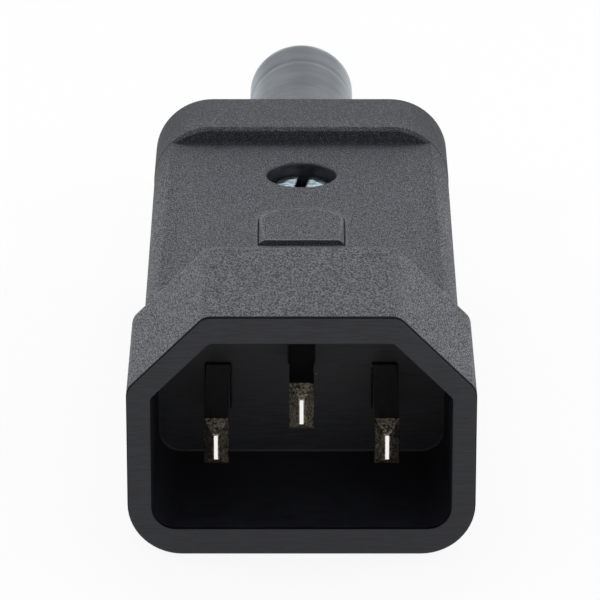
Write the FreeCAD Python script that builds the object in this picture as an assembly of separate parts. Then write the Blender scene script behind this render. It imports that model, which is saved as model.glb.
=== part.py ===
import FreeCAD, Part
import math
import os

# Rewirable inline appliance plug: three blades in a shroud, a housing that opens on top,
# a cord clamp inside and a flexible bend relief at the back.
# Millimetres. X runs across, +Y from the mouth to the cord end, +Z up.
# The shapes are drawn about the centre of the mouth and moved at the end, so that the
# origin is the middle of the footprint with Z = 0 at the underside of the shroud.

V = FreeCAD.Vector
AXIS_Y = V(0, 1, 0)
AXIS_Z = V(0, 0, 1)
CENTRE = V(0, 0, 0)

# Mouth and shroud
MOUTH_W = 24.5
MOUTH_H = 16.4
MOUTH_LEG = 4.8
MOUTH_EASE = 0.6
MOUTH_LOW_R = 2.0
SIDE_WALL = 1.95
TOP_WALL = 2.25
SHROUD_LEG = 6.33
SHROUD_EASE = 1.4
SHROUD_LOW_R = 4.45
CAVITY_D = 15.5
SHROUD_OVER = 0.3
CONTACT_WALL = 2.5
DRAFT = 0.15
RIM_BEVEL = 0.15
BACK_BEVEL = 0.25

# Housing behind the shroud
BODY_STEP = 0.975
BODY_H = 12.4
BODY_FLARE = 0.18
BODY_WALL = 1.4
BODY_EDGE_R = 4.0
SHOULDER_INSET = 0.05
SHOULDER_LEG = 3.2
RIDGE_L = 8.2
RIDGE_RISE = 1.5
RIDGE_STEP = 0.04
RIDGE_R = 5.3
RIDGE_BEVEL = 0.3
END_BEVEL = 0.3
END_WALL = 1.5
REAR_ROOM_L = 3.6
CHAMBER_R = 0.8
SEAM_GAP = 0.02
LIP_T = 0.6
LIP_H = 0.8
LIP_GAP = 0.1
LIP_INSET = 2.0

# Contacts
PITCH = 14.0
BLADE_T = 2.0
BLADE_W = 4.0
BLADE_Z = 2.0
LINE_TIP = 2.5
EARTH_TIP = 0.5
TIP_L = 1.4
TIP_T = 0.5
TIP_W = 2.3
TIP_BEVEL = 0.1
SLOT_GAP = 0.05
BLOCK_L = 8.0
BLOCK_SEAT = 1.6
BLOCK_WALL = 0.9
BLOCK_GAP = 0.4
HEEL_L = 2.0
HEEL_GAP = 0.8
PARTITION_T = 1.2
PARTITION_ROOM = 2.2
RIB_SHORT = 2.0
RIB_GAP = 0.1

# Screws
SCREW_R = 1.5
THREAD_GAP = 0.02
TIP_GAP = 0.3
HEAD_H = 1.5
HEAD_INSET = 0.2
HEAD_ROOM = 1.7
SHANK_GAP = 0.1
SLOT_W = 0.7
SLOT_D = 0.7
HOUSING_HEAD_R = 2.8
HOUSING_HEAD_H = 1.9
HOUSING_TIP_ROOM = 1.9
HOUSING_SLOT_W = 1.0
HOUSING_SLOT_D = 1.2
SLOT_TURN = 8.0
PASS_GAP = 0.2

# Screw well in the cover, and the boss under it
KEY_TO_TURRET = 4.0
WELL_GAP = 0.3
WELL_D = 2.7
WELL_FLOOR = 1.2
WELL_WALL = 1.3
WELL_BEVEL = 0.12
BOSS_R = 3.0

# Key that stands up through the cover
BLOCK_TO_KEY = 1.0
KEY_W = 7.45
KEY_L = 9.0
KEY_CORNER_R = 3.4
KEY_GAP = 0.06
KEY_PROUD = 0.45
KEY_BEVEL = 1.0
KEY_SEAT = 0.4
KEY_LEG_T = 1.2
KEY_LEG_INSET = 1.3

# Cord clamp
TURRET_TO_CLAMP = 1.0
CLAMP_L = 4.4
CLAMP_T = 1.1
CLAMP_GAP = 0.1
ARCH_GAP = 0.1
PILLAR_R = 2.4
PILLAR_GAP = 0.25
EAR_T = 1.5
EAR_HEAD_R = 2.3
EAR_HEAD_ROOM = 0.8
CLAMP_SHANK = 5.0
CRADLE_H = 3.0

# Bend relief
BOOT_L = 23.4
BOOT_WALL = 1.46
BOOT_BEVEL = 0.3
NECK_WALL = 0.9
FLANGE_WALL = 2.3
FLANGE_L = 1.6
BOOT_GAP = 0.05
GROOVE_FROM_END = 4.9
GROOVE_W = 1.0
GROOVE_D = 0.06

# Drawing allowances: how far a cut runs past the surface, and how deep a rib is rooted
OVER = 1.0
ROOT = 0.2

# Worked out from the sizes above
SHROUD_W = MOUTH_W + 2 * SIDE_WALL
SHROUD_H = MOUTH_H + 2 * TOP_WALL
SHROUD_L = CAVITY_D + SHROUD_OVER
BODY_W = SHROUD_W - 2 * BODY_STEP
REAR_W = BODY_W + 2 * BODY_FLARE
SEAM_Y = CAVITY_D + CONTACT_WALL
CHAMBER_W = BODY_W - 2 * BODY_WALL
CHAMBER_H = BODY_H - 2 * BODY_WALL
FLOOR_Z = -CHAMBER_H / 2
CLEAR_R = SCREW_R + PASS_GAP
BLOCK_W = PITCH / 2 - PARTITION_T - 2 * BLOCK_GAP
BLOCK_H = CHAMBER_H - BLOCK_SEAT - HEAD_H - HEAD_ROOM
BLOCK_Z = FLOOR_Z + BLOCK_SEAT
BLOCK_TOP = BLOCK_Z + BLOCK_H
BLOCK_END = SEAM_Y + BLOCK_L
WIRE_R = BLOCK_H / 2 - BLOCK_WALL
TERMINAL_SHANK = BLOCK_H / 2 - SHANK_GAP
TERMINAL_HEAD_R = BLOCK_W / 2 - HEAD_INSET
TERMINAL_Y = SEAM_Y + (HEEL_L + BLOCK_L) / 2
PARTITION_TOP = CHAMBER_H / 2 - PARTITION_ROOM
KEY_Y = BLOCK_END + BLOCK_TO_KEY
WELL_R = HOUSING_HEAD_R + WELL_GAP
TURRET_R = WELL_R + WELL_WALL
WELL_Y = KEY_Y + KEY_L + KEY_TO_TURRET + TURRET_R
WELL_Z = BODY_H / 2 - WELL_D
TURRET_Z = WELL_Z - WELL_FLOOR
HOUSING_SHANK = WELL_Z - FLOOR_Z - HOUSING_TIP_ROOM
CLAMP_Y = WELL_Y + TURRET_R + TURRET_TO_CLAMP + CLAMP_L / 2
CLAMP_X = CHAMBER_W / 2 - PILLAR_R - PILLAR_GAP
PILLAR_TOP = CHAMBER_H / 2 - EAR_HEAD_ROOM - HEAD_H - EAR_T
CRADLE_TOP = FLOOR_Z + CRADLE_H
CORD_R = CHAMBER_H / 2 - ARCH_GAP - CLAMP_T - CLAMP_GAP
REAR_ROOM_Y = CLAMP_Y + CLAMP_L / 2 + BODY_WALL
REAR_WALL_Y = REAR_ROOM_Y + REAR_ROOM_L
BODY_END = REAR_WALL_Y + END_WALL
RIDGE_Y = BODY_END - RIDGE_L
RIDGE_H = BODY_H + 2 * RIDGE_RISE
RIDGE_W = REAR_W + 2 * RIDGE_STEP
REAR_ROOM_W = RIDGE_W - 2 * END_WALL
REAR_ROOM_H = RIDGE_H - 2 * END_WALL
REAR_ROOM_R = RIDGE_R - END_WALL
BOOT_R = CORD_R + BOOT_WALL
NECK_R = CORD_R + NECK_WALL
FLANGE_R = CORD_R + FLANGE_WALL
FLANGE_Y = REAR_WALL_Y - BOOT_GAP - FLANGE_L
BOOT_END = BODY_END + BOOT_L
POLES = {"live": (-PITCH / 2, -BLADE_Z, LINE_TIP),
         "neutral": (PITCH / 2, -BLADE_Z, LINE_TIP),
         "earth": (0.0, BLADE_Z, EARTH_TIP)}


def box(x0, x1, y0, y1, z0, z1):
    return Part.makeBox(x1 - x0, y1 - y0, z1 - z0, V(x0, y0, z0))


def arc(a, mid, b):
    return Part.Arc(a, mid, b).toShape()


def shroud_wire(width, height, leg, ease, low_r, y):
    """Outline with bevelled upper corners and round lower ones, as a wire across Y."""
    w, h = width / 2, height / 2
    t = ease * math.tan(math.pi / 8)
    d = t / math.sqrt(2)
    near = ease * math.sin(math.pi / 8)
    far = ease * math.cos(math.pi / 8)
    q = low_r * (1 - math.sqrt(0.5))

    def at(x, z):
        return V(x, y, z)

    right = [at(w - leg - t, h), at(w - leg + d, h - d), at(w - d, h - leg + d),
             at(w, h - leg - t), at(w, -h + low_r), at(w - low_r, -h)]
    mids = [at(w - leg - t + near, h - ease + far),
            at(w - ease + far, h - leg - t + near),
            at(w - q, -h + q)]
    left = [V(-p.x, p.y, p.z) for p in right]
    left_mids = [V(-p.x, p.y, p.z) for p in mids]
    edges = [Part.makeLine(left[0], right[0]), arc(right[0], mids[0], right[1]),
             Part.makeLine(right[1], right[2]), arc(right[2], mids[1], right[3]),
             Part.makeLine(right[3], right[4]), arc(right[4], mids[2], right[5]),
             Part.makeLine(right[5], left[5]), arc(left[5], left_mids[2], left[4]),
             Part.makeLine(left[4], left[3]), arc(left[3], left_mids[1], left[2]),
             Part.makeLine(left[2], left[1]), arc(left[1], left_mids[0], left[0])]
    return Part.Wire(edges)


def round_wire(width, height, r, y, flat):
    """Rectangle with four round corners, cut flat above and below, as a wire across Y."""
    w, h = width / 2, height / 2
    steep = math.asin((flat / 2 - h + r) / r)
    edges = []
    for sx, sz in ((1, 1), (1, -1), (-1, -1), (-1, 1)):
        along, corner, down = [V(sx * (w - r + r * math.cos(a)), y, sz * (h - r + r * math.sin(a)))
                               for a in (steep, steep / 2, 0)]
        first, last = (along, down) if sx * sz > 0 else (down, along)
        if edges:
            edges.append(Part.makeLine(edges[-1].Vertexes[-1].Point, first))
        edges.append(arc(first, corner, last))
    edges.append(Part.makeLine(edges[-1].Vertexes[-1].Point, edges[0].Vertexes[0].Point))
    return Part.Wire(edges)


def round_bar(width, height, r, y0, y1):
    """Straight length of a round-cornered section."""
    return Part.Face(round_wire(width, height, r, y0, height)).extrude(V(0, y1 - y0, 0))


def loft(*wires):
    return Part.makeLoft(list(wires), True, True)


def edges_at_y(shape, y):
    return [e for e in shape.Edges if all(abs(v.Y - y) < 1e-6 for v in e.Vertexes)]


def edges_at_z(shape, z):
    return [e for e in shape.Edges if all(abs(v.Z - z) < 1e-6 for v in e.Vertexes)]


def shroud_outside():
    """Shroud with the shoulder that steps down to the housing behind it."""
    wire = shroud_wire(SHROUD_W, SHROUD_H, SHROUD_LEG, SHROUD_EASE, SHROUD_LOW_R, 0)
    bar = Part.Face(wire).extrude(V(0, SHROUD_L, 0))
    bar = bar.makeChamfer(RIM_BEVEL, edges_at_y(bar, 0))
    bar = bar.makeChamfer(BACK_BEVEL, edges_at_y(bar, SHROUD_L))
    inset = 2 * BACK_BEVEL
    top = shroud_wire(SHROUD_W - inset, SHROUD_H - inset, SHROUD_LEG, SHROUD_EASE,
                      SHROUD_LOW_R - BACK_BEVEL, SHROUD_L)
    inset = 2 * SHOULDER_INSET
    foot = shroud_wire(BODY_W - inset, BODY_H - inset, SHOULDER_LEG, SHROUD_EASE,
                       SHROUD_LOW_R - BACK_BEVEL, SEAM_Y)
    return bar.fuse(loft(top, foot))


def body_wire(width, r, y):
    """Section of the housing: corners like the ridge's, cut flat above and below."""
    rise = (RIDGE_RISE - RIDGE_STEP) * r / (RIDGE_R - RIDGE_STEP)
    return round_wire(width, BODY_H + 2 * rise, r, y, BODY_H)


def body_outside():
    """Housing behind the shroud, with the grip ridge round its rear end."""
    body = loft(body_wire(BODY_W, BODY_EDGE_R, SHROUD_L),
                body_wire(REAR_W, RIDGE_R - RIDGE_STEP, RIDGE_Y + 2 * RIDGE_BEVEL))
    ridge = round_bar(RIDGE_W, RIDGE_H, RIDGE_R, RIDGE_Y, BODY_END)
    ridge = ridge.makeChamfer(RIDGE_BEVEL, edges_at_y(ridge, RIDGE_Y))
    ridge = ridge.makeChamfer(END_BEVEL, edges_at_y(ridge, BODY_END))
    return body.fuse(ridge).removeSplitter()


def cavity():
    """Space in the shroud, narrowing a little towards its back wall."""
    mouth = shroud_wire(MOUTH_W, MOUTH_H, MOUTH_LEG, MOUTH_EASE, MOUTH_LOW_R, 0)
    back = shroud_wire(MOUTH_W - 2 * DRAFT, MOUTH_H - 2 * DRAFT, MOUTH_LEG, MOUTH_EASE,
                       MOUTH_LOW_R, CAVITY_D)
    return loft(mouth, back)


def chamber():
    """Wiring room of the housing, with the taller room for the bend relief's flange."""
    room = round_bar(CHAMBER_W, CHAMBER_H, CHAMBER_R, SEAM_Y, REAR_ROOM_Y + OVER)
    tall = round_bar(REAR_ROOM_W, REAR_ROOM_H, REAR_ROOM_R, REAR_ROOM_Y, REAR_WALL_Y)
    neck = Part.makeCylinder(NECK_R + BOOT_GAP, END_WALL + 2 * OVER,
                             V(0, REAR_WALL_Y - OVER, 0), AXIS_Y)
    return room.fuse([tall, neck])


def lip(gap):
    """Tongue that laps the seam on the inside of both long walls."""
    inner = CHAMBER_W / 2
    outer = inner + LIP_T + gap
    y0 = SEAM_Y + LIP_INSET - gap
    y1 = RIDGE_Y - LIP_INSET + gap
    right = box(inner, outer, y0, y1, -ROOT, LIP_H + gap)
    left = box(-outer, -inner, y0, y1, -ROOT, LIP_H + gap)
    return right.fuse(left)


def key_outline(gap):
    """D shape of the key, flat at the front, as a face at Z = 0."""
    w = KEY_W / 2 - gap
    r = KEY_CORNER_R - gap
    y0, y1 = KEY_Y + gap, KEY_Y + KEY_L - gap
    q = r * (1 - math.sqrt(0.5))
    edges = [Part.makeLine(V(-w, y0, 0), V(w, y0, 0)),
             Part.makeLine(V(w, y0, 0), V(w, y1 - r, 0)),
             arc(V(w, y1 - r, 0), V(w - q, y1 - q, 0), V(w - r, y1, 0)),
             Part.makeLine(V(w - r, y1, 0), V(-w + r, y1, 0)),
             arc(V(-w + r, y1, 0), V(-w + q, y1 - q, 0), V(-w, y1 - r, 0)),
             Part.makeLine(V(-w, y1 - r, 0), V(-w, y0, 0))]
    return Part.Face(Part.Wire(edges))


def key():
    """Two legs and a wedge head that fills the cover's window."""
    top = BODY_H / 2
    under = top - BODY_WALL - KEY_SEAT
    head = key_outline(KEY_GAP).extrude(V(0, 0, BODY_H))
    w = KEY_W / 2
    crown = w - KEY_BEVEL
    bend = KEY_BEVEL * (1 - math.sqrt(0.5))
    rise = KEY_PROUD * (1 - math.sqrt(0.5))
    high = top + KEY_PROUD
    left_mid, right_mid = [V(s * (w - bend), 0, high - rise) for s in (-1, 1)]
    profile = [Part.makeLine(V(-w, 0, under), V(w, 0, under)),
               Part.makeLine(V(w, 0, under), V(w, 0, top)),
               arc(V(w, 0, top), right_mid, V(crown, 0, high)),
               Part.makeLine(V(crown, 0, high), V(-crown, 0, high)),
               arc(V(-crown, 0, high), left_mid, V(-w, 0, top)),
               Part.makeLine(V(-w, 0, top), V(-w, 0, under))]
    bar = Part.Face(Part.Wire(profile)).extrude(V(0, BODY_END, 0))
    end = KEY_Y + KEY_L
    slope = [V(-BODY_W, KEY_Y, high), V(-BODY_W, end, top),
             V(-BODY_W, end, high + OVER), V(-BODY_W, KEY_Y, high + OVER)]
    above = Part.Face(Part.makePolygon(slope + slope[:1])).extrude(V(2 * BODY_W, 0, 0))
    shape = head.common(bar).cut(above)
    y0 = KEY_Y + KEY_LEG_INSET
    y1 = end - KEY_CORNER_R / 2
    for side in (-1, 1):
        x = side * (w - (KEY_LEG_INSET + KEY_LEG_T) / 2)
        leg = box(x - KEY_LEG_T / 2, x + KEY_LEG_T / 2, y0, y1, FLOOR_Z - ROOT, under + ROOT)
        shape = shape.fuse(leg)
    return shape


def lower_housing():
    """Shroud, contact wall and the lower half of the housing, moulded as one piece."""
    half = box(-BODY_W, BODY_W, SEAM_Y, BODY_END + OVER, 0, BODY_W)
    shape = shroud_outside().fuse(body_outside().cut(half))
    shape = shape.cut([cavity(), chamber()])
    root_z = FLOOR_Z - ROOT
    added = [lip(0), key()]
    for side in (-1, 1):
        x = side * PITCH / 4
        added.append(box(x - PARTITION_T / 2, x + PARTITION_T / 2, SEAM_Y - ROOT,
                         BLOCK_END + BLOCK_TO_KEY, root_z, PARTITION_TOP))
        wall = side * (CHAMBER_W / 2 + ROOT)
        rib = side * (PITCH / 2 + BLOCK_W / 2 + RIB_GAP)
        added.append(box(min(wall, rib), max(wall, rib), SEAM_Y + HEEL_L, BLOCK_END - RIB_SHORT,
                         root_z, 0))
        added.append(Part.makeCylinder(PILLAR_R, PILLAR_TOP - root_z,
                                       V(side * CLAMP_X, CLAMP_Y, root_z), AXIS_Z))
    for x, blade_z, tip in POLES.values():
        added.append(box(x - BLOCK_W / 2, x + BLOCK_W / 2, SEAM_Y + HEEL_L + SLOT_GAP,
                         BLOCK_END, root_z, BLOCK_Z))
    added.append(Part.makeCylinder(BOSS_R, TURRET_Z - root_z, V(0, WELL_Y, root_z), AXIS_Z))
    added.append(box(-CLAMP_X, CLAMP_X, CLAMP_Y - CLAMP_L / 2, CLAMP_Y + CLAMP_L / 2,
                     root_z, CRADLE_TOP))
    shape = shape.fuse(added)
    cuts = [Part.makeCylinder(CORD_R + CLAMP_GAP, 2 * CLAMP_L, V(0, CLAMP_Y - CLAMP_L, 0), AXIS_Y)]
    for x, blade_z, tip in POLES.values():
        w = BLADE_T / 2 + SLOT_GAP
        h = BLADE_W / 2 + SLOT_GAP
        cuts.append(box(x - w, x + w, CAVITY_D - OVER, SEAM_Y + OVER, blade_z - h, blade_z + h))
    cuts.append(screw_hole(0, WELL_Y, TURRET_Z, WELL_Z - HOUSING_SHANK))
    for side in (-1, 1):
        cuts.append(screw_hole(side * CLAMP_X, CLAMP_Y, PILLAR_TOP, PILLAR_TOP + EAR_T - CLAMP_SHANK))
    return shape.cut(cuts).removeSplitter()


def screw_hole(x, y, top, tip):
    """Threaded hole from its mouth to a little past the screw's tip."""
    bottom = tip - TIP_GAP
    return Part.makeCylinder(SCREW_R + THREAD_GAP, top + OVER - bottom, V(x, y, bottom), AXIS_Z)


def upper_cover():
    """Upper half of the housing, with the key's window and the screw well."""
    upper = box(-BODY_W, BODY_W, SEAM_Y + SEAM_GAP, BODY_END + OVER, SEAM_GAP / 2, BODY_W)
    shape = body_outside().common(upper)
    window = key_outline(0).extrude(V(0, 0, BODY_H))
    well = Part.makeCylinder(WELL_R, BODY_H, V(0, WELL_Y, WELL_Z), AXIS_Z)
    shape = shape.cut([window, well])
    middle = FreeCAD.BoundBox(-TURRET_R, KEY_Y - ROOT, 0, TURRET_R, WELL_Y + TURRET_R, BODY_H)
    rims = [e for e in edges_at_z(shape, BODY_H / 2) if middle.isInside(e.BoundBox)]
    shape = shape.makeChamfer(WELL_BEVEL, rims).cut(chamber())
    turret = Part.makeCylinder(TURRET_R, WELL_FLOOR + WELL_D - BODY_WALL / 2,
                               V(0, WELL_Y, TURRET_Z + SEAM_GAP), AXIS_Z)
    hole = Part.makeCylinder(CLEAR_R, BODY_H, V(0, WELL_Y, 0), AXIS_Z)
    turret = turret.cut([well, hole])
    return shape.fuse(turret).cut(lip(LIP_GAP)).removeSplitter()


def contact(x, blade_z, tip):
    """Blade with a bevelled tip, the heel behind the contact wall and the terminal block."""
    def taper(full, end, across):
        side = [(-full / 2, SEAM_Y), (-full / 2, tip + TIP_L), (-end / 2, tip + TIP_BEVEL),
                (TIP_BEVEL - end / 2, tip)]
        points = side + [(-u, y) for u, y in reversed(side)]
        corners = [V(u, y, 0) if across == "x" else V(0, y, u) for u, y in points]
        return Part.Face(Part.makePolygon(corners + corners[:1]))
    flat = taper(BLADE_T, TIP_T, "x").extrude(V(0, 0, BLADE_W))
    flat.translate(V(x, 0, blade_z - BLADE_W / 2))
    edge = taper(BLADE_W, TIP_W, "z").extrude(V(BLADE_T, 0, 0))
    edge.translate(V(x - BLADE_T / 2, 0, blade_z))
    blade = flat.common(edge)
    w = BLOCK_W / 2
    reach = CHAMBER_H / 2 - HEEL_GAP
    low, high = (-reach, BLOCK_TOP) if blade_z < 0 else (BLOCK_Z, reach)
    heel = box(x - w, x + w, SEAM_Y, SEAM_Y + HEEL_L, low, high)
    block = box(x - w, x + w, SEAM_Y, BLOCK_END, BLOCK_Z, BLOCK_TOP)
    shape = blade.fuse([heel, block])
    wire_z = (BLOCK_Z + BLOCK_TOP) / 2
    wire = Part.makeCylinder(WIRE_R, BLOCK_L, V(x, SEAM_Y + HEEL_L, wire_z), AXIS_Y)
    thread = Part.makeCylinder(SCREW_R + THREAD_GAP, BLOCK_H, V(x, TERMINAL_Y, wire_z), AXIS_Z)
    return shape.cut([wire, thread]).removeSplitter()


def slotted_screw(x, y, seat, head_r, shank):
    """Cheese-head screw with a straight slot, its head seated at a height."""
    top = seat + HEAD_H
    head = Part.makeCylinder(head_r, HEAD_H, V(x, y, seat), AXIS_Z)
    stem = Part.makeCylinder(SCREW_R, shank, V(x, y, seat - shank), AXIS_Z)
    slot = box(x - head_r, x + head_r, y - SLOT_W / 2, y + SLOT_W / 2, top - SLOT_D, top + OVER)
    return head.fuse(stem).cut(slot)


def housing_screw():
    """Slotted pan-head screw in the cover's well."""
    r, h = HOUSING_HEAD_R, HOUSING_HEAD_H
    profile = [V(0, 0, 0), V(r, 0, 0), V(r, 0, 0.5 * h), V(0.95 * r, 0, 0.75 * h),
               V(0.8 * r, 0, 0.93 * h), V(0.5 * r, 0, h), V(0, 0, h)]
    head = Part.Face(Part.makePolygon(profile + profile[:1])).revolve(CENTRE, AXIS_Z, 360)
    stem = Part.makeCylinder(SCREW_R, HOUSING_SHANK, V(0, 0, -HOUSING_SHANK), AXIS_Z)
    half = HOUSING_SLOT_W / 2
    shape = head.fuse(stem).cut(box(-half, half, -r, r, h - HOUSING_SLOT_D, h + OVER))
    shape.rotate(CENTRE, AXIS_Z, -SLOT_TURN)
    shape.translate(V(0, WELL_Y, WELL_Z))
    return shape


def cord_clamp():
    """Arched strap with two ears that presses the cord on its cradle."""
    y0 = CLAMP_Y - CLAMP_L / 2
    inner = CORD_R + CLAMP_GAP
    arch = Part.makeCylinder(inner + CLAMP_T, CLAMP_L, V(0, y0, 0), AXIS_Y)
    ears = box(-CLAMP_X - PILLAR_R, CLAMP_X + PILLAR_R, y0, y0 + CLAMP_L,
               PILLAR_TOP, PILLAR_TOP + EAR_T)
    shape = arch.common(box(-BODY_W, BODY_W, y0, y0 + CLAMP_L, PILLAR_TOP, BODY_W)).fuse(ears)
    shape = shape.cut(Part.makeCylinder(inner, CLAMP_L, V(0, y0, 0), AXIS_Y))
    for side in (-1, 1):
        hole = Part.makeCylinder(CLEAR_R, BODY_H, V(side * CLAMP_X, CLAMP_Y, FLOOR_Z), AXIS_Z)
        shape = shape.cut(hole)
    return shape.removeSplitter()


def bend_relief_boot():
    """Flexible sleeve held by its flange and neck in the housing's rear wall."""
    out = BODY_END + BOOT_GAP
    neck_end = REAR_WALL_Y - BOOT_GAP
    groove = BOOT_END - GROOVE_FROM_END
    pts = [V(CORD_R, FLANGE_Y, 0), V(FLANGE_R, FLANGE_Y, 0), V(FLANGE_R, neck_end, 0),
           V(NECK_R, neck_end, 0), V(NECK_R, out, 0), V(BOOT_R, out, 0),
           V(BOOT_R, groove - GROOVE_W / 2, 0), V(BOOT_R - GROOVE_D, groove, 0),
           V(BOOT_R, groove + GROOVE_W / 2, 0),
           V(BOOT_R, BOOT_END - BOOT_BEVEL, 0), V(BOOT_R - BOOT_BEVEL, BOOT_END, 0),
           V(CORD_R, BOOT_END, 0)]
    return Part.Face(Part.makePolygon(pts + pts[:1])).revolve(CENTRE, AXIS_Y, 360)


def build():
    nodes = {"lower_housing": lower_housing(), "upper_cover": upper_cover()}
    for name, (x, blade_z, tip) in POLES.items():
        nodes[name + "_contact"] = contact(x, blade_z, tip)
        nodes[name + "_terminal_screw"] = slotted_screw(x, TERMINAL_Y, BLOCK_TOP, TERMINAL_HEAD_R,
                                                        TERMINAL_SHANK)
    nodes["housing_screw"] = housing_screw()
    nodes["cord_clamp"] = cord_clamp()
    for name, side in (("left", -1), ("right", 1)):
        nodes["clamp_screw_" + name] = slotted_screw(side * CLAMP_X, CLAMP_Y, PILLAR_TOP + EAR_T,
                                                     EAR_HEAD_R, CLAMP_SHANK)
    nodes["bend_relief_boot"] = bend_relief_boot()
    return nodes


os.makedirs("parts", exist_ok=True)
for node, solid in build().items():
    solid.translate(V(0, -BOOT_END / 2, SHROUD_H / 2))
    solid.exportStep("parts/" + node + ".step")
    print(node, solid.isValid(), len(solid.Solids), round(solid.Volume, 2))
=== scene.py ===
import math

import bpy
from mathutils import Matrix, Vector

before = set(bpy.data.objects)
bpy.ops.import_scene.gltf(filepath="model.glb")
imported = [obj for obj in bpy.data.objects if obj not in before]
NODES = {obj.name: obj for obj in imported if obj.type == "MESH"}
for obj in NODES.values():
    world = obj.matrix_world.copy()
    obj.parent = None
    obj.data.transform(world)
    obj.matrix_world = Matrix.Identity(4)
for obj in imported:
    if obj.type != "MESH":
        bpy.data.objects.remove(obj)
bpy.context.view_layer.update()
MM = 0.001

# The photograph's camera, fitted to the blades and the mouth, in millimetres and degrees
MOUTH_Y = -42.05
MOUTH_Z = 10.45
CAMERA_PLACE = (-0.126, -347.155 + MOUTH_Y, 151.844 + MOUTH_Z)
CAMERA_PITCH = 68.06
FOCAL_MM = 280.37
SENSOR_MM = 36.0
CLIP_START_MM = 10

# The floor, the sky and the lamps. Lengths and places from here on are in metres
FLOOR_HALF = 3.0
FLOOR_COLOUR = (0.86, 0.86, 0.86, 1)
FLOOR_SHADOW = 0.10
SKY_STRENGTH = 0.45
PLUG_MIDDLE = (0, 0, 0.01)
SHROUD_MIDDLE = (0, -0.03, 0.01)
BACK_PLACE = (0, 0.35, 0.5)
BACK_POWER = 1.6
BACK_SIZE = 0.5
SIDE_PLACE = (0.24, 0.02, 0.17)
SIDE_POWER = 0.3
SIDE_SIZE = 0.12
FRONT_PLACE = (0.2, -0.45, 0.25)
FRONT_POWER = 0.35
FRONT_SIZE = 0.35

# The rim, the mouth's room and the screw well, where the moulding is smooth
MOUTH_RIM = -0.04175
MOUTH_BACK = -0.0263
MOUTH_SIDE = 0.0125
MOUTH_TOP = 0.0188
MOUTH_BOTTOM = 0.0021
MOUTH_SLANT = 0.0274
WELL_Y = 0.00235
WELL_RADIUS = 0.00312
WELL_FADE = 0.0001

# The painted shade line on the roundings along the rim
LIP_FRONT = -0.04202
LIP_BACK = -0.04165
LIP_FADE = 0.00005

# The shroud's back, the strip round the key, the housing's long edges and its joint with the cover
SHROUD_BACK = -0.0255
KEY_SIDE = 0.0045
KEY_BACK = -0.005
EDGE_START = 0.0100
EDGE_END = 0.0124
SEAM_Z = 0.01046
SEAM_HALF = 0.00008
SEAM_FRONT = -0.02405

# A face looks forward when the Y of its normal is below this
FORWARD = -0.3

# Grain of the moulding: noise per metre along X, Y and Z, its depth, where it wears off and how far
GRAIN = (9500, 5000, 9500)
GRAIN_DEPTH = 0.0003
GRAIN_FRESH_Y = -0.005
GRAIN_WORN_Y = 0.014
GRAIN_LOSS = 0.75

# The grain's contrast on the shroud, and what of it is lost from there to the housing
SHROUD_CONTRAST = 1.2
CONTRAST_LOSS = 0.15
CONTRAST_START_Y = -0.026
CONTRAST_END_Y = -0.022

# The moulding's shade follows a level round 0.5: its base, what wear adds to it, the dark joint,
# and a painted shade on the housing's long edges
LEVEL_BASE = 0.42
LEVEL_FRESH = 0.08
LEVEL_SEAM = -0.3
# Painted shade that darkens the housing's long edges
LEVEL_EDGE_SHADE = -0.025

# The moulding's specular level, where 0.5 is what its IOR gives, and what the painted shade line
# along the rim loses
MIRRORING = 0.5
RIM_SHADE_MIRROR_LOSS = 0.45

# Roundings of sharp edges in the shading, and of the edges that are lightened, part as wear and
# part as a painted highlight
MOULDED_ROUNDING = 0.0003
WORN_HIGHLIGHT_ROUNDING = 0.0006
SCREW_ROUNDING = 0.0004
SLEEVE_ROUNDING = 0.0012

# Where the screws turn from bright zinc to a painted shade, and the sleeve from dusty to scuffed
SHADE_TOP_Z = 0.0154
SHADE_FULL_Z = 0.0151
DUSTY_Y = 0.018
SCUFFED_Y = 0.034


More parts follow.
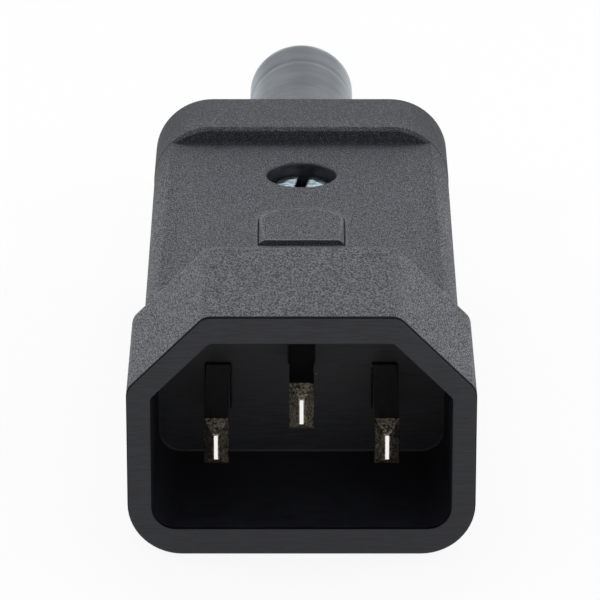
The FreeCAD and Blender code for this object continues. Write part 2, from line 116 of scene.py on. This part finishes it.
class Nodes:
    """Node tree of a material or world. A value, colour or normal is given as its output socket."""

    # Sockets of a Mix node that hold colours
    MIX_A, MIX_B, MIX_RESULT = 6, 7, 2

    def __init__(self, owner, output="ShaderNodeOutputMaterial"):
        owner.use_nodes = True
        self.owner = owner
        self.tree = owner.node_tree
        self.tree.nodes.clear()
        self.output = self.add(output)

    def add(self, kind, **inputs):
        """New node; an input's name has _ for a space, and its value is a constant or a socket."""
        node = self.tree.nodes.new(kind)
        for name, value in inputs.items():
            self.feed(node.inputs[name.replace("_", " ")], value)
        return node

    def feed(self, socket, value):
        if isinstance(value, bpy.types.NodeSocket):
            self.tree.links.new(value, socket)
        else:
            socket.default_value = value

    def coordinates(self, kind="Object"):
        return self.add("ShaderNodeTexCoord").outputs[kind]

    def axes(self, kind="Object"):
        """X, Y and Z of the place in metres, or of the normal."""
        return self.add("ShaderNodeSeparateXYZ", Vector=self.coordinates(kind)).outputs[:3]

    def noise(self, scale, detail, roughness):
        """Noise per metre; a scale of three numbers draws it out along an axis."""
        vector = self.coordinates()
        if isinstance(scale, tuple):
            vector = self.add("ShaderNodeMapping", Vector=vector, Scale=scale).outputs["Vector"]
            scale = 1
        node = self.add("ShaderNodeTexNoise", Vector=vector, Scale=scale, Detail=detail,
                        Roughness=roughness)
        return node.outputs["Fac"]

    def ramp(self, source, *stops):
        """Colour that follows the source; a stop is a value and its colour or grey level."""
        node = self.add("ShaderNodeValToRGB", Fac=source)
        elements = node.color_ramp.elements
        while len(elements) < len(stops):
            elements.new(0.5)
        for element, (value, shown) in zip(elements, stops):
            element.position = value
            element.color = (*shown, 1) if isinstance(shown, tuple) else (shown, shown, shown, 1)
        return node.outputs["Color"]

    def rise(self, source, start, end):
        """0 where the source is at start, up to 1 where it is at end."""
        node = self.add("ShaderNodeMapRange", Value=source, From_Min=start, From_Max=end)
        return node.outputs["Result"]

    def math(self, operation, *values, kind="ShaderNodeMath"):
        node = self.add(kind)
        node.operation = operation
        for socket, value in zip(node.inputs, values):
            self.feed(socket, value)
        return node.outputs["Value"]

    def vector_math(self, operation, *values):
        return self.math(operation, *values, kind="ShaderNodeVectorMath")

    def mix(self, share, a, b):
        """Colour a where the share is 0, up to colour b where it is 1."""
        node = self.add("ShaderNodeMix")
        node.data_type = "RGBA"
        self.feed(node.inputs["Factor"], share)
        self.feed(node.inputs[self.MIX_A], a)
        self.feed(node.inputs[self.MIX_B], b)
        return node.outputs[self.MIX_RESULT]

    def bump(self, height, distance, strength, normal=None):
        node = self.add("ShaderNodeBump", Height=height, Distance=distance, Strength=strength)
        if normal is not None:
            self.feed(node.inputs["Normal"], normal)
        return node.outputs["Normal"]

    def soft_edges(self, radius):
        """Rounds the shading of sharp edges, as a mould's edges are."""
        node = self.add("ShaderNodeBevel", Radius=radius)
        node.samples = 6
        return node.outputs["Normal"]

    def seen(self):
        """1 for the camera's rays and those that metal and glass send on, 0 for the rest."""
        rays = self.add("ShaderNodeLightPath").outputs
        sent_on = self.math("MAXIMUM", rays["Is Glossy Ray"], rays["Is Transmission Ray"])
        return self.math("MAXIMUM", rays["Is Camera Ray"], sent_on)

    def show(self, shader):
        """Ends the tree with a shader node and returns its owner."""
        self.tree.links.new(shader.outputs[0], self.output.inputs["Surface"])
        return self.owner

    def show_blend(self, share, a, b):
        """Ends the tree with shader node a where the share is 0, and b where it is 1."""
        node = self.add("ShaderNodeMixShader")
        for socket, value in zip(node.inputs, (share, a.outputs[0], b.outputs[0])):
            self.feed(socket, value)
        return self.show(node)

    def show_surface(self, **inputs):
        return self.show(self.add("ShaderNodeBsdfPrincipled", **inputs))


def outside_well(n):
    """0 on the wall of the screw well, 1 elsewhere."""
    flat = n.add("ShaderNodeMapping", Vector=n.coordinates(), Scale=(1, 1, 0))
    away = n.vector_math("DISTANCE", flat.outputs["Vector"], (0, WELL_Y, 0))
    return n.rise(away, WELL_RADIUS, WELL_RADIUS + WELL_FADE)


def outside_mouth(n):
    """1 on the outside of the shroud and housing, 0 on the rim, in the mouth and in the well."""
    x, y, z = n.axes()
    across = n.math("ABSOLUTE", x)
    beyond = n.math("SUBTRACT", across, MOUTH_SIDE)
    for other in (n.math("SUBTRACT", n.math("ADD", across, z), MOUTH_SLANT),
                  n.math("SUBTRACT", z, MOUTH_TOP),
                  n.math("SUBTRACT", MOUTH_BOTTOM, z),
                  n.math("SUBTRACT", y, MOUTH_BACK)):
        beyond = n.math("MAXIMUM", beyond, other)
    both = n.math("MINIMUM", beyond, n.math("SUBTRACT", y, MOUTH_RIM))
    return n.math("MULTIPLY", n.math("GREATER_THAN", both, 0.0), outside_well(n))


def rim_shade_mask(n):
    """Painted shade: 1 on the roundings along the rim, 0 elsewhere."""
    y = n.axes()[1]
    ahead = n.rise(y, LIP_FRONT, LIP_FRONT + LIP_FADE)
    behind = n.rise(y, LIP_BACK, LIP_BACK - LIP_FADE)
    return n.math("MULTIPLY", ahead, behind)


def seam(n):
    """1 along the joint between the cover and the lower housing, 0 elsewhere."""
    _, y, z = n.axes()
    away = n.math("ABSOLUTE", n.math("SUBTRACT", z, SEAM_Z))
    close = n.math("LESS_THAN", away, SEAM_HALF)
    return n.math("MULTIPLY", close, n.math("GREATER_THAN", y, SEAM_FRONT))


def long_edge_shade(n):
    """Share of painted shade: 0 on the middle of the housing, up to 1 on its long edges, and 0 on
    the shroud.
    """
    x, y, _ = n.axes()
    share = n.rise(n.math("ABSOLUTE", x), EDGE_START, EDGE_END)
    return n.math("MULTIPLY", share, n.math("GREATER_THAN", y, SHROUD_BACK))


def worn_highlight_part(n):
    """Where edges are lightened, part as wear and part as a painted highlight: 1 on the shroud and
    round the key, except on faces that look forward, 0 elsewhere.
    """
    x, y, _ = n.axes()
    middle = n.math("LESS_THAN", n.math("ABSOLUTE", x), KEY_SIDE)
    on_key = n.math("MULTIPLY", middle, n.math("LESS_THAN", y, KEY_BACK))
    either = n.math("MAXIMUM", on_key, n.math("LESS_THAN", y, SHROUD_BACK))
    facing = n.axes("Normal")[1]
    return n.math("MULTIPLY", either, n.math("GREATER_THAN", facing, FORWARD))


def worn_highlit_edges(n):
    """1 where the rounded shading leaves the true face, which is along the edges that are lightened
    as wear and as a painted highlight.
    """
    true = n.add("ShaderNodeNewGeometry").outputs["True Normal"]
    likeness = n.vector_math("DOT_PRODUCT", n.soft_edges(WORN_HIGHLIGHT_ROUNDING), true)
    return n.ramp(likeness, (0.93, 1.0), (0.995, 0.0))


def moulded_plastic():
    """Black moulding: spark-eroded grain outside, smoother on the rim and in the mouth."""
    n = Nodes(bpy.data.materials.new("moulded_plastic"))
    y = n.axes()[1]
    outside = outside_mouth(n)
    clouds = n.noise(scale=180, detail=3.0, roughness=0.55)
    drag = n.noise(scale=(500, 6000, 6000), detail=3.0, roughness=0.6)
    fresh = n.math("MULTIPLY_ADD", n.rise(y, GRAIN_FRESH_Y, GRAIN_WORN_Y), -GRAIN_LOSS, 1.0)
    centred = n.math("SUBTRACT", n.noise(scale=GRAIN, detail=1.0, roughness=0.5), 0.5)
    grain = n.math("MULTIPLY", centred, fresh)

    edges = n.soft_edges(MOULDED_ROUNDING)
    wavy = n.bump(clouds, distance=0.00002, strength=0.25, normal=edges)
    drawn = n.bump(drag, distance=0.00001, strength=0.5, normal=wavy)
    depth = n.math("MULTIPLY", outside, GRAIN_DEPTH)
    grained = n.bump(grain, distance=depth, strength=1.0, normal=drawn)

    behind_shroud = n.rise(y, CONTRAST_START_Y, CONTRAST_END_Y)
    contrast = n.math("MULTIPLY_ADD", behind_shroud, -CONTRAST_LOSS, SHROUD_CONTRAST)
    peaks = n.math("MULTIPLY", grain, contrast)
    worn_level = n.math("MULTIPLY_ADD", fresh, LEVEL_FRESH, peaks)
    dirt = n.math("MULTIPLY_ADD", seam(n), LEVEL_SEAM, LEVEL_BASE)
    # Painted shade darkens the housing's long edges; the seam darkens the joint
    shade = n.math("MULTIPLY_ADD", long_edge_shade(n), LEVEL_EDGE_SHADE, dirt)
    level = n.math("ADD", worn_level, shade)

    rough = n.ramp(level, (0.43, (0.003, 0.004, 0.008)), (0.57, (0.089, 0.100, 0.123)))
    # Lighter edge colour, part edge wear and part painted highlight, on the shroud and round the
    # key
    worn_edge_highlight = n.ramp(drag, (0.35, (0.09, 0.10, 0.12)), (0.6, (0.20, 0.21, 0.23)))
    outer = n.mix(n.math("MULTIPLY", worn_highlit_edges(n), worn_highlight_part(n)), rough, worn_edge_highlight)
    specks = n.add("ShaderNodeTexVoronoi", Vector=n.coordinates(), Scale=240)
    dust = n.ramp(specks.outputs["Distance"], (0.018, 1.0), (0.03, 0.0))
    lint = n.ramp(clouds, (0.4, (0.02, 0.02, 0.02)), (0.6, (0.16, 0.16, 0.16)))
    clean = n.ramp(drag, (0.4, (0.004, 0.0042, 0.007)), (0.62, (0.014, 0.015, 0.021)))
    # Painted shade: near-black colour and weaker reflection on the rim's roundings
    rim_shade_colour = n.ramp(drag, (0.35, (0.001, 0.001, 0.001)), (0.6, (0.006, 0.006, 0.008)))
    rim_shade_share = rim_shade_mask(n)
    colour = n.mix(rim_shade_share, n.mix(outside, n.mix(dust, clean, lint), outer), rim_shade_colour)

    matt = n.ramp(level, (0.4, 0.7), (0.6, 0.34))
    satin = n.ramp(drag, (0.35, 0.42), (0.65, 0.52))
    gloss = n.mix(outside, satin, matt)
    mirroring = n.math("MULTIPLY_ADD", rim_shade_share, -RIM_SHADE_MIRROR_LOSS, MIRRORING)
    return n.show_surface(Base_Color=colour, Roughness=gloss, IOR=1.45,
                          Specular_IOR_Level=mirroring, Normal=grained)


def plated_blade():
    """Nickel plate with drawn lines, brassy and speckled on the pressed bevels of the tip; faces
    that look forward carry a painted highlight, the sides and tops a painted shade.
    """
    n = Nodes(bpy.data.materials.new("plated_blade"))
    lines = n.noise(scale=(5400, 540, 5400), detail=3.0, roughness=0.6)
    spots = n.noise(scale=4600, detail=3.0, roughness=0.7)
    forward = n.math("MULTIPLY", n.axes("Normal")[1], -1.0)
    bevel = n.ramp(forward, (0.15, 0.0), (0.2, 1.0), (0.95, 1.0), (0.98, 0.0))
    # Faces that look forward get a near-white painted highlight; the sides and tops a darkened
    # nickel as painted shade
    front = n.ramp(forward, (0.5, 0.0), (0.6, 1.0))
    shaded_nickel = n.ramp(lines, (0.3, (0.38, 0.38, 0.37)), (0.7, (0.52, 0.51, 0.50)))
    crest_highlight = n.ramp(lines, (0.3, (0.90, 0.89, 0.86)), (0.7, (0.98, 0.97, 0.95)))
    pressed = n.ramp(spots, (0.40, (0.06, 0.05, 0.04)), (0.62, (0.50, 0.45, 0.36)))
    colour = n.mix(bevel, n.mix(front, shaded_nickel, crest_highlight), pressed)
    polished = n.ramp(lines, (0.3, 0.16), (0.7, 0.26))
    worn = n.ramp(spots, (0.4, 0.3), (0.6, 0.55))
    gloss = n.mix(bevel, polished, worn)
    normal = n.bump(lines, distance=0.000005, strength=0.5)
    return n.show_surface(Base_Color=colour, Metallic=1.0, Roughness=gloss, Normal=normal)


def zinc_plate():
    """Blue-passivated zinc, with a painted shade in the slot and below the head."""
    n = Nodes(bpy.data.materials.new("zinc_plate"))
    spots = n.noise(scale=(1500, 3200, 1500), detail=2.0, roughness=0.5)
    bright = n.ramp(spots, (0.40, (0.22, 0.32, 0.40)), (0.60, (0.58, 0.71, 0.80)))
    # Painted shade: near-black zinc in the slot and below the head
    shaded_zinc = n.ramp(spots, (0.40, (0.012, 0.014, 0.016)), (0.60, (0.04, 0.045, 0.05)))
    colour = n.mix(n.rise(n.axes()[2], SHADE_TOP_Z, SHADE_FULL_Z), bright, shaded_zinc)
    gloss = n.ramp(spots, (0.3, 0.08), (0.7, 0.18))
    rounded = n.soft_edges(SCREW_ROUNDING)
    normal = n.bump(spots, distance=0.00002, strength=0.4, normal=rounded)
    return n.show_surface(Base_Color=colour, Metallic=1.0, Roughness=gloss, Normal=normal)


def soft_sleeve():
    """Soft sleeve: cloudy, scuffed at its end, with a bloom that lights up at grazing angles."""
    n = Nodes(bpy.data.materials.new("soft_sleeve"))
    clouds = n.noise(scale=(150, 330, 150), detail=4.0, roughness=0.6)
    pores = n.noise(scale=4200, detail=2.0, roughness=0.5)
    scuffed = n.ramp(clouds, (0.38, (0.001, 0.003, 0.009)), (0.62, (0.020, 0.026, 0.038)))
    dusty = n.ramp(clouds, (0.38, (0.035, 0.037, 0.043)), (0.62, (0.085, 0.088, 0.095)))
    colour = n.mix(n.rise(n.axes()[1], SCUFFED_Y, DUSTY_Y), scuffed, dusty)
    gloss = n.ramp(clouds, (0.35, 0.50), (0.65, 0.36))
    rounded = n.soft_edges(SLEEVE_ROUNDING)
    normal = n.bump(pores, distance=0.00002, strength=0.4, normal=rounded)
    return n.show_surface(Base_Color=colour, Roughness=gloss, IOR=1.36, Sheen_Weight=1.0,
                          Sheen_Roughness=0.33, Sheen_Tint=(0.86, 0.94, 1.0, 1.0), Normal=normal)


def paint(names, material):
    for name in names:
        mesh = NODES[name].data
        mesh.materials.clear()
        mesh.materials.append(material)


def dress_nodes():
    paint(["lower_housing", "upper_cover", "cord_clamp"], moulded_plastic())
    paint(["live_contact", "neutral_contact", "earth_contact"], plated_blade())
    screws = ["live_terminal_screw", "neutral_terminal_screw", "earth_terminal_screw",
              "housing_screw", "clamp_screw_left", "clamp_screw_right"]
    paint(screws, zinc_plate())
    paint(["bend_relief_boot"], soft_sleeve())


def pale_floor():
    """White where it is seen, but for a faint shadow."""
    n = Nodes(bpy.data.materials.new("pale_floor"))
    shaded = n.add("ShaderNodeBsdfDiffuse", Color=FLOOR_COLOUR)
    white = n.add("ShaderNodeEmission", Strength=1.0)
    return n.show_blend(n.math("MULTIPLY", n.seen(), 1 - FLOOR_SHADOW), shaded, white)


def floor():
    mesh = bpy.data.meshes.new("floor")
    corners = [(-FLOOR_HALF, -FLOOR_HALF, 0), (FLOOR_HALF, -FLOOR_HALF, 0),
               (FLOOR_HALF, FLOOR_HALF, 0), (-FLOOR_HALF, FLOOR_HALF, 0)]
    mesh.from_pydata(corners, [], [(0, 1, 2, 3)])
    mesh.materials.append(pale_floor())
    obj = bpy.data.objects.new("floor", mesh)
    bpy.context.collection.objects.link(obj)


def sky():
    """Soft light from all round, white where it is seen."""
    n = Nodes(bpy.data.worlds.new("studio"), "ShaderNodeOutputWorld")
    soft = n.add("ShaderNodeBackground", Strength=SKY_STRENGTH)
    white = n.add("ShaderNodeBackground", Strength=1.0)
    bpy.context.scene.world = n.show_blend(n.seen(), soft, white)


def lamp(name, place, aim, power, size):
    light = bpy.data.lights.new(name, "AREA")
    light.energy = power
    light.size = size
    obj = bpy.data.objects.new(name, light)
    obj.location = place
    toward = Vector(aim) - Vector(place)
    obj.rotation_euler = toward.to_track_quat("-Z", "Y").to_euler()
    bpy.context.collection.objects.link(obj)


def lamps():
    lamp("back", BACK_PLACE, PLUG_MIDDLE, BACK_POWER, BACK_SIZE)
    x, y, z = SIDE_PLACE
    lamp("left", (-x, y, z), SHROUD_MIDDLE, SIDE_POWER, SIDE_SIZE)
    lamp("right", (x, y, z), SHROUD_MIDDLE, SIDE_POWER, SIDE_SIZE)
    lamp("front", FRONT_PLACE, PLUG_MIDDLE, FRONT_POWER, FRONT_SIZE)


def camera():
    data = bpy.data.cameras.new("camera")
    data.sensor_width = SENSOR_MM
    data.lens = FOCAL_MM
    data.clip_start = CLIP_START_MM * MM
    obj = bpy.data.objects.new("camera", data)
    obj.location = [v * MM for v in CAMERA_PLACE]
    obj.rotation_euler = (math.radians(CAMERA_PITCH), 0, 0)
    bpy.context.collection.objects.link(obj)
    bpy.context.scene.camera = obj


bpy.context.scene.view_settings.view_transform = "Standard"
camera()
sky()
floor()
lamps()
dress_nodes()
